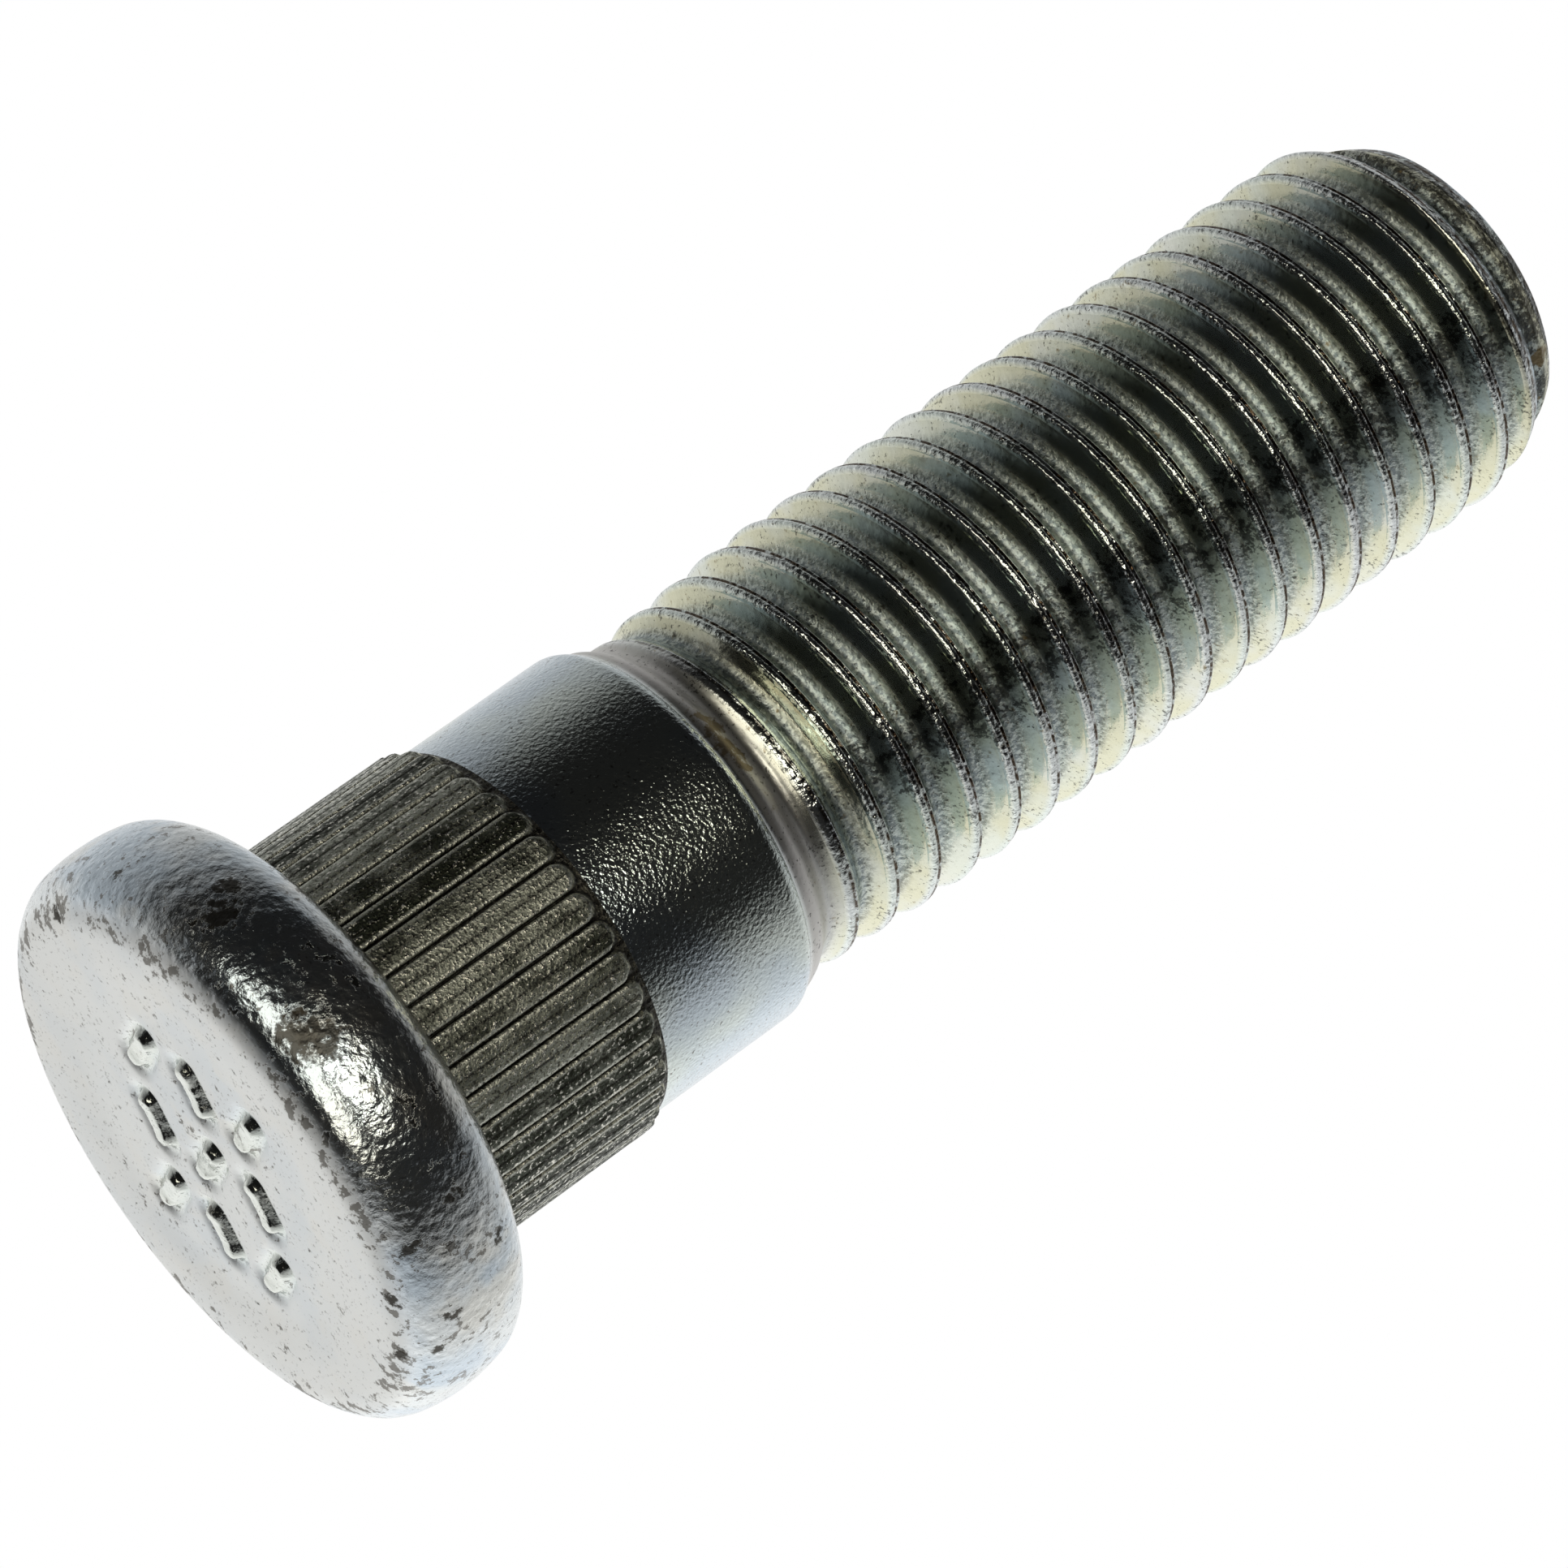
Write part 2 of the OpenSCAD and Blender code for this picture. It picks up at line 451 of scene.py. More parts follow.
def tip_cone(z):
    """Radius of the tip's taper at a height."""
    share = (z - (TIP_Z - TIP_TAPER)) / TIP_TAPER
    return CREST_R + (TIP_R - CREST_R) * share


def tip_shape(radius, z):
    """The taper cuts the crests off, and the grooves run on over it as ever fainter ridges."""
    cone = tip_cone(z)
    fade = fall(z, TIP_Z - TIP_TAPER, TIP_Z - RIDGE_END)
    ridges = cone - RIDGE_SHARE * fade * (CREST_R - radius)
    return soft_min(radius, ridges, TAPER_BLEND)


def thread_r(depth, z, share):
    """Radius of the thread at a depth below its crest, a height and a share of a turn."""
    neck = NECK_R + NECK_FILLET * fall(z, SHOULDER_Z, SHOULDER_Z + FILLET_LEN)
    step = smooth(z, THREAD_Z - STEP_START, THREAD_Z + STEP_END)
    rise = STEP_SHARE * step + (1 - STEP_SHARE) * smooth(z, THREAD_Z, THREAD_Z + RISE_LEN)
    groove = depth * np.clip((z - THREAD_Z + GROOVE_START) / GROOVE_RUN, 0, 1)
    nick = NICK_DEPTH * np.sin(z * 7.3 + 9.0 * share) * (depth < NICKED_TO)
    return tip_shape(neck + (CREST_R - THREAD_WEAR + nick - NECK_R) * rise - groove, z)


def thread_points():
    """Points of the thread in rows that follow the helix, one turn after another."""
    turns = math.ceil((TIP_Z - FIRST_CREST_Z) / PITCH) + 1
    share = np.arange(THREAD_COLUMNS) / THREAD_COLUMNS
    rows = []
    for turn in range(turns):
        for x, depth in PROFILE:
            z = FIRST_CREST_Z + PITCH * (turn + share) + x
            rows.append(ring(thread_r(depth, z, share), z, share * math.tau))
    return np.array(rows)


def thread_sheet():
    """The thread as an open sheet. The end of each row meets the start of the same row one turn on."""
    points = thread_points()
    rows, columns = points.shape[:2]
    mesh = bmesh.new()
    grid = [[mesh.verts.new(p) for p in row] for row in points]
    for i in range(rows - 1):
        for j in range(columns):
            over = i + len(PROFILE)
            if j < columns - 1:
                mesh.faces.new((grid[i][j], grid[i][j + 1], grid[i + 1][j + 1], grid[i + 1][j]))
            elif over + 1 < rows:
                mesh.faces.new((grid[i][j], grid[over][0], grid[over + 1][0], grid[i + 1][j]))
    return mesh


def cut_level(mesh, z, up):
    """Takes away what lies above that height, where up is 1, or below it, where up is -1."""
    everything = mesh.verts[:] + mesh.edges[:] + mesh.faces[:]
    bmesh.ops.bisect_plane(mesh, geom=everything, dist=CUT_MERGE, plane_co=(0, 0, z),
                           plane_no=(0, 0, up), clear_outer=True)


def cut_loop(mesh, z):
    """The open edge at that height, as vertices in order of their angle."""
    edge = {v for e in mesh.edges if e.is_boundary for v in e.verts if abs(v.co.z - z) < CUT_NEAR}
    return sorted(edge, key=lambda v: math.atan2(v.co.y, v.co.x) % math.tau)


def thread_turns(skin, last):
    """The thread, cut off level in the neck and in the tip's taper."""
    mesh = thread_sheet()
    cut_level(mesh, LOW_CUT, -1)
    cut_level(mesh, HIGH_CUT, 1)
    mesh.verts.index_update()
    first = len(skin.points)
    skin.loop([v.co for v in mesh.verts])
    for face in mesh.faces:
        skin.face([first + v.index for v in face.verts], "thread")
    low, high = [[first + v.index for v in cut_loop(mesh, z)] for z in (LOW_CUT, HIGH_CUT)]
    mesh.free()
    skin.join(last, low, "thread")
    return high


def tip_rings(skin, last):
    """The rounded edge and the flat end of the tip."""
    edge_r = tip_cone(TIP_Z - TIP_ROUND)
    middle_z = TIP_Z - TIP_HOLLOW
    profile = [(edge_r - inward, TIP_Z - drop) for inward, drop in TIP_EDGE]
    profile += [(radius, middle_z) for radius in TIP_MIDDLE]
    for radius, z in profile:
        columns = THREAD_COLUMNS // 4 if radius < TIP_R / 2 else THREAD_COLUMNS
        points = ring(radius, z, even_angles(columns))
        points[:, 2] += bumps(points, TIP_BUMPS)
        loop = skin.loop(points)
        skin.join(last, loop, "thread")
        last = loop
    skin.close(last, (0, 0, middle_z), "thread")


def build_stud(materials):
    """The stud as one closed mesh that stands for the CAD solid."""
    skin = Skin()
    last = head_rings(skin)
    last = knurl_rings(skin, last)
    last = collar_rings(skin, last)
    last = thread_turns(skin, last)
    tip_rings(skin, last)
    mesh = bpy.data.meshes.new("stud")
    points = np.array(skin.points)
    mesh.from_pydata((points * MM).tolist(), [], skin.faces)
    for material in materials.values():
        mesh.materials.append(material)
    order = list(materials)
    mesh.polygons.foreach_set("material_index", [order.index(part) for part in skin.parts])
    mesh.polygons.foreach_set("use_smooth", [True] * len(skin.faces))
    for name, values in surface_masks(points).items():
        layer = mesh.attributes.new(name, "FLOAT", "POINT")
        layer.data.foreach_set("value", values.astype(np.float32))
    mesh.update()
    stud = bpy.data.objects.new("stud", mesh)
    bpy.context.scene.collection.objects.link(stud)
    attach(stud, "root")
    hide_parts("wheel_stud")


# Camera: it looks up at the stud's head from below, rolled so that the shank leans to the right.
# Its place is given outward from the stud, sideways and in height.
VIEW_AZIMUTH = math.radians(83.3)
VIEW_ELEVATION = math.radians(-24.5)
VIEW_ROLL = math.radians(54.454)
VIEW_OUT = 210.75
VIEW_SIDE = 0.724
VIEW_HEIGHT = -75.28
LENS = 188.0
CLIP_START = 1.0
CLIP_END = 5000.0
SIDE = Vector((math.cos(VIEW_AZIMUTH), math.sin(VIEW_AZIMUTH), 0))
OUT = Vector((math.sin(VIEW_AZIMUTH), -math.cos(VIEW_AZIMUTH), 0))
UP = Vector((0, 0, 1))


def toward(turn, elevation):
    """Direction from the stud, turned by some degrees from the camera's side and raised above level."""
    t, e = math.radians(turn), math.radians(elevation)
    return math.cos(e) * (math.cos(t) * OUT + math.sin(t) * SIDE) + math.sin(e) * UP


# Stains and pits on the head, the neck and the tip: degrees from the camera's side, height of the spot,
# and its size
STAINS = [
    (-8, 1.2, 1.4), (-5, 1.7, 0.9), (-35, 1.9, 1.1), (-39, 2.6, 0.7), (-77, 0.1, 0.45), (52, 1.3, 0.5),
    (60, 0.8, 0.45), (35, 0.7, 0.55), (43, 3.4, 0.6), (47, 0.1, 0.5), (63, 0.1, 0.45), (-60, 1.2, 0.4),
    (30, 2.4, 0.5), (150, 1.6, 0.9), (-130, 1.0, 0.8), (110, 2.4, 0.7), (195, 2.8, 0.6),
    (-22, 17.5, 0.5), (-17, 17.5, 0.7), (-11, 17.5, 0.8), (-5, 17.5, 0.7), (43, 46.8, 0.7), (170, 17.5, 0.8),
]

# Side of the thread with extra dark specks as painted shade, where its reflections are darkest, in degrees
# from the camera's side, the cosines from there at which that painted shade starts and is full, and the same
# for its height
SPECK_SHADE_TURN = 21
SPECK_SHADE_REACH = (0.94, 0.995)
SPECK_SHADE_Z = (THREAD_Z, THREAD_Z + 3.0)

# Across a serration, as shares of its width from the middle: the rough line on its top, the painted highlight
# along its edge, and the groove, which is darkened as painted shade
RIB_SEAM = (0.0, 0.0, 0.09)
RIB_EDGE_HIGHLIGHT = (0.41, 0.02, 0.05)
RIB_GROOVE_SHADE = (0.42, 0.47)

# Ends of the serrations: heights at which their masks start and are full, and radii at which the painted
# highlight on the end and the painted shadow in the gap before the collar begin to fade and are gone
END_Z = (KNURL_TOP - 0.7, KNURL_TOP - 0.5)
END_HIGHLIGHT_R = (KNURL_R - 0.1, KNURL_R - 0.04)
END_SHADOW_R = (COLLAR_R + 0.03, COLLAR_R + 0.12)

# Along a turn of the thread, past the crest's middle toward the tip: the crest and its seam on both
# sides of their middle, then the stretches of the root and of the two flanks
CREST = (0.02, 0.14, 0.24)
CREST_SEAM = (0.1, 0.03, 0.09)
ROOT = (0.45, 0.65, 1.0, 1.16)
HEAD_FLANK = (0.85, 1.1, 1.28, 1.38)
TIP_FLANK = (0.1, 0.3, 0.8, 1.0)

# Heights of the thread, the neck and the tip's taper, and the radii at which the taper's mask starts
# and is full, so that it leaves the tip's flat end out
ON_THREAD_Z = (THREAD_Z - 1.2, THREAD_Z + 0.3)
NECK_Z = (SHOULDER_Z - 0.1, SHOULDER_Z + 0.1, THREAD_Z - 1.0, THREAD_Z)
TAPER_Z = (TIP_Z - TIP_TAPER, TIP_Z - 0.8)
TAPER_R = (3.5, 4.5)

# Head: heights at which the outer face's mask fades and ends, distances from a mark's middle line at
# which its gloss does, the highest that marks can be, and the edge of the seat
FACE_Z = (0.0, 0.5)
MARK_GLOSS = (0.4, 0.75)
MARKS_TOP = 1.0
SEAT_EDGE_Z = (SEAT_Z - 0.5, SEAT_Z - 0.15)
SEAT_EDGE_R = (7.5, 8.1)

# Worn ring near the edge of the outer face, and the height up to which it reaches
WORN_R = 8.0
WORN_W = 0.45
WORN_TOP = 1.2


def surface_r(height):
    """Radius of the stud's surface at a height on the head, the neck or the tip."""
    if height < HEAD_ROUND:
        return rim_centre_r() + math.sqrt(HEAD_ROUND ** 2 - (HEAD_ROUND - height) ** 2)
    if height < SEAT_Z:
        return HEAD_R
    if height < THREAD_Z:
        return NECK_R + NECK_FILLET / 2
    return tip_cone(height)


def stain_mask(points):
    """1 at the middle of a stain and 0 past its size."""
    stain = np.zeros(len(points))
    for turn, height, size in STAINS:
        spot = np.array(toward(turn, 0) * surface_r(height) + height * UP)
        stain = np.maximum(stain, fall(np.linalg.norm(points - spot, axis=1), 0, size))
    return stain


def head_masks(points, radius, z):
    """Outer face, its worn edge, the marks, and the edge of the seat."""
    mark_distance, _ = nearest_mark(points)
    return {
        "outer_face": fall(z, *FACE_Z),
        "face_edge": np.exp(-((radius - WORN_R) / WORN_W) ** 2) * (z < WORN_TOP),
        "mark": (z < MARKS_TOP) * fall(mark_distance, *MARK_GLOSS),
        "seat_edge": smooth(z, *SEAT_EDGE_Z) * smooth(radius, *SEAT_EDGE_R),
    }


def serration_masks(angle, radius, z):
    """Across the serrations, at their ends, and a tone that differs from one to the next. The edge and end
    masks place painted highlights, and the groove and gap masks place painted shade.
    """
    place = (angle % math.tau) / (math.tau / KNURL_N)
    rib = place % 1 - 0.5
    at_end = smooth(z, *END_Z)
    return {
        "rib_seam": near(rib, *RIB_SEAM),
        "rib_edge_highlight": near(np.abs(rib), *RIB_EDGE_HIGHLIGHT),
        "rib_groove_shade": smooth(np.abs(rib), *RIB_GROOVE_SHADE),
        "rib_end_highlight": at_end * fall(radius, *END_HIGHLIGHT_R),
        "rib_gap_shadow": at_end * fall(radius, *END_SHADOW_R),
        "rib_tone": 0.5 + 0.5 * np.sin(2.9 * np.floor(place) ** 1.3),
    }


def thread_masks(angle, radius, z):
    """Crests, roots and flanks of the thread, the neck, and the tip's taper."""
    half_pitch = PITCH / 2
    shift = (z - FIRST_CREST_Z - PITCH * (angle % math.tau) / math.tau + half_pitch) % PITCH - half_pitch
    past_crest = shift % PITCH
    on_thread = smooth(z, *ON_THREAD_Z)
    return {
        "crest": on_thread * near(shift, *CREST),
        "crest_seam": on_thread * near(shift, *CREST_SEAM),
        "root": on_thread * stretch(past_crest, *ROOT),
        "head_flank": on_thread * stretch(past_crest, *HEAD_FLANK),
        "tip_flank": on_thread * stretch(past_crest, *TIP_FLANK),
        "neck": stretch(z, *NECK_Z),
        "taper": smooth(z, *TAPER_Z) * smooth(radius, *TAPER_R),
    }


def surface_masks(points):
    """Numbers from 0 to 1 at each point that tell the materials where they are on the stud."""
    x, y, z = points.T
    radius = np.hypot(x, y)
    angle = np.arctan2(y, x)
    speck_shade_side = toward(SPECK_SHADE_TURN, 0)
    speck_shade_facing = (x * speck_shade_side.x + y * speck_shade_side.y) / np.maximum(radius, 0.1)
    return {
        **head_masks(points, radius, z),
        **serration_masks(angle, radius, z),
        **thread_masks(angle, radius, z),
        # Painted shade: where more dark specks go, on the side toward the camera
        "speck_shade": smooth(z, *SPECK_SHADE_Z) * smooth(speck_shade_facing, *SPECK_SHADE_REACH),
        "stain": stain_mask(points),
    }


# Sockets of the Mix node that carry colours
MIX_SHARE, MIX_A, MIX_B, MIX_COLOUR = 0, 6, 7, 2


class Nodes:
    """Short calls that add nodes to the tree of a material or of the world."""

    def __init__(self, tree):
        self.tree = tree

    def add(self, kind):
        return self.tree.nodes.new("ShaderNode" + kind)

    def link(self, value, socket):
        """Puts a number, a colour or another node's output into a socket."""
        if isinstance(value, (int, float)):
            socket.default_value = value
        elif isinstance(value, tuple):
            socket.default_value = (*value, 1.0)
        else:
            self.tree.links.new(value, socket)

    def math(self, operation, a, b):
        node = self.add("Math")
        node.operation = operation
        self.link(a, node.inputs[0])
        self.link(b, node.inputs[1])
        return node.outputs[0]

    def plus(self, a, b):
        return self.math("ADD", a, b)

    def minus(self, a, b):
        return self.math("SUBTRACT", a, b)

    def times(self, a, b):
        return self.math("MULTIPLY", a, b)

    def larger(self, a, b):
        return self.math("MAXIMUM", a, b)

    def vector_math(self, operation, vector):
        node = self.add("VectorMath")
        node.operation = operation
        self.link(vector, node.inputs[0])
        return node

    def unit(self, vector):
        return self.vector_math("NORMALIZE", vector).outputs["Vector"]

    def length(self, vector):
        return self.vector_math("LENGTH", vector).outputs["Value"]

    def along(self, vector, direction):
        """How far a vector reaches in a fixed direction."""
        node = self.vector_math("DOT_PRODUCT", vector)
        node.inputs[1].default_value = direction
        return node.outputs["Value"]

    def span(self, value, low, high, start=0.0, end=1.0, shape="SMOOTHSTEP"):
        """A value from low to high becomes start to end, smoothly and no further."""
        node = self.add("MapRange")
        node.interpolation_type = shape
        self.link(value, node.inputs["Value"])
        for name, number in (("From Min", low), ("From Max", high), ("To Min", start), ("To Max", end)):
            node.inputs[name].default_value = number
        return node.outputs["Result"]

    def straight(self, value, low, high, start=0.0, end=1.0):
        """The same along a straight line."""
        return self.span(value, low, high, start, end, "LINEAR")

    def greys(self, value, shades):
        """Greys for values from 0 to 1, given as places on the way and their shades."""
        node = self.add("ValToRGB")
        stops = node.color_ramp.elements
        while len(stops) < len(shades):
            stops.new(0.5)
        for stop, (place, shade) in zip(stops, shades):
            stop.position = place
            stop.color = (shade, shade, shade, 1)
        self.link(value, node.inputs["Fac"])
        return node.outputs["Color"]

    def glow(self, colour, strength):
        node = self.add("Emission")
        self.link(colour, node.inputs["Color"])
        self.link(strength, node.inputs["Strength"])
        return node.outputs["Emission"]

    def surface(self, shader):
        self.link(shader, self.add("OutputMaterial").inputs["Surface"])


class Metal(Nodes):
    """One metal material, with short calls for its textures. Sizes and depths are in millimetres."""

    def __init__(self, name):
        self.material = bpy.data.materials.new(name)
        self.material.use_nodes = True
        super().__init__(self.material.node_tree)
        self.shader = self.tree.nodes["Principled BSDF"]
        self.shader.inputs["Metallic"].default_value = 1.0
        self.where = self.add("TexCoord").outputs["Object"]

    def mask(self, name):
        """One of the numbers that surface_masks gives to each point."""
        node = self.add("Attribute")
        node.attribute_name = name
        return node.outputs["Fac"]

    def noise(self, size, detail=2.0, rough=0.5):
        """Noise with bumps of about that size."""
        node = self.add("TexNoise")
        node.inputs["Scale"].default_value = 1 / (size * MM)
        node.inputs["Detail"].default_value = detail
        node.inputs["Roughness"].default_value = rough
        self.link(self.where, node.inputs["Vector"])
        return node.outputs["Fac"]

    def cells(self, size):
        """Rounded cells of about that size, 0 in their middle."""
        node = self.add("TexVoronoi")
        node.feature = "SMOOTH_F1"
        node.inputs["Scale"].default_value = 1 / (size * MM)
        self.link(self.where, node.inputs["Vector"])
        return node.outputs["Distance"]

    def mix(self, share, a, b):
        """Colour a where share is 0, and b where it is 1."""
        node = self.add("Mix")
        node.data_type = "RGBA"
        self.link(share, node.inputs[MIX_SHARE])
        self.link(a, node.inputs[MIX_A])
        self.link(b, node.inputs[MIX_B])
        return node.outputs[MIX_COLOUR]

    def stains(self, detail, rough):
        """1 in the ragged middle of each stain."""
        ragged = self.plus(self.times(self.mask("stain"), 0.36), self.noise(0.3, detail, rough))
        return self.span(ragged, 0.62, 0.76)

    def bump(self, height, depth, before=None):
        """A bump of that depth, on top of an earlier one."""
        node = self.add("Bump")
        node.inputs["Distance"].default_value = depth * MM
        self.link(height, node.inputs["Height"])
        if before is not None:
            self.link(before, node.inputs["Normal"])
        return node.outputs["Normal"]

    def finish(self, colour, rough, normal):
        self.link(colour, self.shader.inputs["Base Color"])
        self.link(rough, self.shader.inputs["Roughness"])
        self.link(normal, self.shader.inputs["Normal"])
        return self.material


# Colours of the plating, of what shows where it is worn, of the dirt on it, and of painted highlights and
# painted shade
ZINC = (0.82, 0.86, 0.86)
ZINC_BLUE = (0.66, 0.75, 0.82)
ZINC_GREEN = (0.80, 0.87, 0.82)
CREAM = (0.82, 0.80, 0.72)
FACE_WHITE = (0.95, 0.95, 0.92)
MARK_GREY = (0.66, 0.70, 0.62)
RIB_DARK = (0.06, 0.068, 0.048)
RIB_GREY = (0.52, 0.54, 0.46)
# Painted highlight along the edges of the serrations
RIB_HIGHLIGHT_PALE = (0.93, 0.95, 0.84)
# Painted glints on the serrations
RIB_GLINT = (0.95, 0.93, 0.82)
# Painted highlight on the rounded ends of the serrations
RIB_END_HIGHLIGHT = (0.95, 0.94, 0.74)
COLLAR_BLUE = (0.68, 0.77, 0.83)
FLANK_YELLOW = (0.76, 0.75, 0.54)
FLANK_BLUE = (0.55, 0.72, 0.86)
ROOT_DARK = (0.06, 0.07, 0.045)
ROOT_GREY = (0.70, 0.74, 0.64)
NECK_BROWN = (0.64, 0.60, 0.57)
BARE = (0.17, 0.155, 0.13)
STAIN = (0.045, 0.036, 0.022)
THREAD_STAIN = (0.26, 0.20, 0.10)
SEAM_BROWN = (0.07, 0.04, 0.015)
# Dark of the soot specks. It is also used for painted shade in the grooves, painted shadow at the collar, and
# dark specks painted as shade on the thread
SOOT_AND_SHADE = (0.03, 0.028, 0.025)


def head_metal():
    """Satin zinc: a pale even face with glossy marks, a lightly hammered rim, and worn pits by its edges."""
    s = Metal("head_zinc")
    face = s.mask("outer_face")
    mark = s.mask("mark")
    tint = s.mix(s.span(s.noise(3.2, 3), 0.42, 0.62), ZINC, ZINC_BLUE)
    tint = s.mix(s.times(s.span(s.noise(1.9, 3), 0.5, 0.68), 0.6), tint, CREAM)
    tint = s.mix(s.times(face, 0.75), tint, FACE_WHITE)
    tint = s.mix(s.times(mark, 0.6), tint, MARK_GREY)
    cluster = s.span(s.noise(2.2, 3), 0.42, 0.66)
    worn = s.plus(s.times(s.mask("face_edge"), 0.13), s.times(cluster, 0.09))
    worn = s.plus(worn, s.times(s.mask("seat_edge"), 0.14))
    worn = s.minus(worn, s.times(face, 0.045))
    pitted = s.span(s.plus(s.noise(0.4, 5, 0.65), worn), 0.63, 0.69)
    specks = s.span(s.noise(0.16, 3, 0.65), 0.60, 0.68)
    stained = s.stains(5, 0.65)
    colour = s.mix(s.times(specks, 0.45), tint, BARE)
    colour = s.mix(s.times(pitted, 0.8), colour, BARE)
    colour = s.mix(s.times(stained, 0.9), colour, STAIN)
    rough = s.times(s.span(face, 0, 1, 0.19, 0.5), s.span(mark, 0, 1, 1.0, 0.22))
    rough = s.plus(rough, s.times(stained, 0.16))
    strength = s.larger(s.span(face, 0, 1, 1.0, 0.12), s.times(mark, 0.7))
    normal = s.bump(s.times(s.cells(0.34), strength), 0.024)
    normal = s.bump(s.times(s.noise(0.2, 3), strength), 0.03, normal)
    normal = s.bump(s.times(s.noise(0.7, 2), strength), 0.03, normal)
    normal = s.bump(s.minus(1.0, s.larger(pitted, stained)), 0.006, normal)
    return s.finish(colour, rough, normal)


def knurl_metal():
    """Dark, granular serrations: a rough line along each top, painted highlights along their edges, on their
    ends and as glints, and painted shade in the grooves and in the gap before the collar.
    """
    s = Metal("serrated_zinc")
    seam = s.mask("rib_seam")
    grain = s.noise(0.13, 3, 0.6)
    beads = s.noise(0.13, 2, 0.6)
    patch = s.plus(s.noise(1.1, 4, 0.6), s.times(s.mask("rib_tone"), 0.42))
    colour = s.mix(s.span(patch, 0.52, 0.96), RIB_DARK, RIB_GREY)
    # Painted highlight along both edges of each serration
    colour = s.mix(s.times(s.mask("rib_edge_highlight"), 0.9), colour, RIB_HIGHLIGHT_PALE)
    # Painted glints: pale specks where the grain is highest
    colour = s.mix(s.span(grain, 0.58, 0.64), colour, RIB_GLINT)
    colour = s.mix(s.times(s.span(grain, 0.45, 0.36), 0.8), colour, SOOT_AND_SHADE)
    colour = s.mix(s.times(seam, s.span(beads, 0.42, 0.5, 0, 0.9)), colour, SOOT_AND_SHADE)
    # Painted highlight on the rounded end of each serration at the collar
    end = s.times(s.mask("rib_end_highlight"), s.span(s.noise(0.25, 3), 0.42, 0.54, 0.05, 0.95))
    colour = s.mix(end, colour, RIB_END_HIGHLIGHT)
    # Painted shadow in the gap before the collar and painted shade in the grooves
    for painted_shade_place in ("rib_gap_shadow", "rib_groove_shade"):
        colour = s.mix(s.times(s.mask(painted_shade_place), 0.92), colour, SOOT_AND_SHADE)
    rough = s.span(grain, 0.4, 0.62, 0.52, 0.18)
    normal = s.bump(grain, 0.065)
    normal = s.bump(s.times(beads, seam), 0.05, normal)
    return s.finish(colour, rough, normal)


def collar_metal():
    """Satin zinc with a fine orange peel and tiny pits."""
    s = Metal("collar_zinc")
    tint = s.mix(s.span(s.noise(6.0, 2), 0.42, 0.6), COLLAR_BLUE, ZINC_GREEN)
    specks = s.span(s.noise(0.13, 3, 0.65), 0.60, 0.68)
    colour = s.mix(s.times(specks, 0.7), tint, BARE)
    normal = s.bump(s.noise(0.125, 2), 0.028)
    return s.finish(colour, 0.15, normal)


def thread_dirt_and_shade(s, speckle):
    """Specks of dirt: a few more in the roots and on the crests, and most on the taper. More dark specks on
    the side toward the camera are painted shade.
    """
    more = s.plus(s.times(s.mask("root"), 0.02), s.times(s.mask("crest"), 0.05))
    more = s.plus(more, s.times(s.mask("taper"), s.span(s.noise(0.6, 3), 0.4, 0.55, 0.04, 0.2)))
    # Painted shade: more dark specks on the side toward the camera
    more = s.plus(more, s.times(s.mask("speck_shade"), s.span(s.noise(0.5, 3), 0.4, 0.6, 0.0, 0.2)))
    blotch = s.span(s.noise(1.1, 3), 0.45, 0.7, 0.0, 0.07)
    return s.span(s.plus(speckle, s.plus(more, blotch)), 0.61, 0.70)


def thread_metal():
    """Rolled thread: glossy crests with a brown seam, granular roots, tinted flanks, dull neck and taper."""
    s = Metal("thread_zinc")
    crest, root, neck, taper = [s.mask(name) for name in ("crest", "root", "neck", "taper")]
    speckle = s.noise(0.13, 4, 0.65)
    colour = s.mix(s.span(s.noise(3.0, 2), 0.35, 0.65), ZINC, ZINC_GREEN)
    yellow = s.times(s.mask("head_flank"), s.span(s.noise(2.2, 2), 0.35, 0.6, 0.4, 0.95))
    colour = s.mix(yellow, colour, FLANK_YELLOW)
    colour = s.mix(s.times(s.mask("tip_flank"), 0.65), colour, FLANK_BLUE)
    grain = s.span(s.noise(0.17, 3, 0.6), 0.42, 0.58)
    colour = s.mix(s.times(root, 0.6), colour, s.mix(grain, ROOT_DARK, ROOT_GREY))
    colour = s.mix(s.times(neck, 0.7), colour, NECK_BROWN)
    colour = s.mix(s.times(thread_dirt_and_shade(s, speckle), 0.75), colour, SOOT_AND_SHADE)
    line = s.times(s.mask("crest_seam"), s.span(s.noise(0.3, 3), 0.4, 0.52, 0.1, 0.95))
    colour = s.mix(line, colour, SEAM_BROWN)
    colour = s.mix(s.times(s.stains(4, 0.6), 0.85), colour, THREAD_STAIN)
    rough = s.plus(s.span(root, 0, 1, 0.14, 0.34), s.times(s.plus(neck, taper), 0.24))
    normal = s.bump(s.noise(0.35, 3), 0.012)
    normal = s.bump(s.times(speckle, s.span(root, 0, 1, 0.04, 0.7)), 0.05, normal)
    normal = s.bump(s.times(s.noise(0.2, 2), s.plus(crest, taper)), 0.06, normal)
    return s.finish(colour, rough, normal)


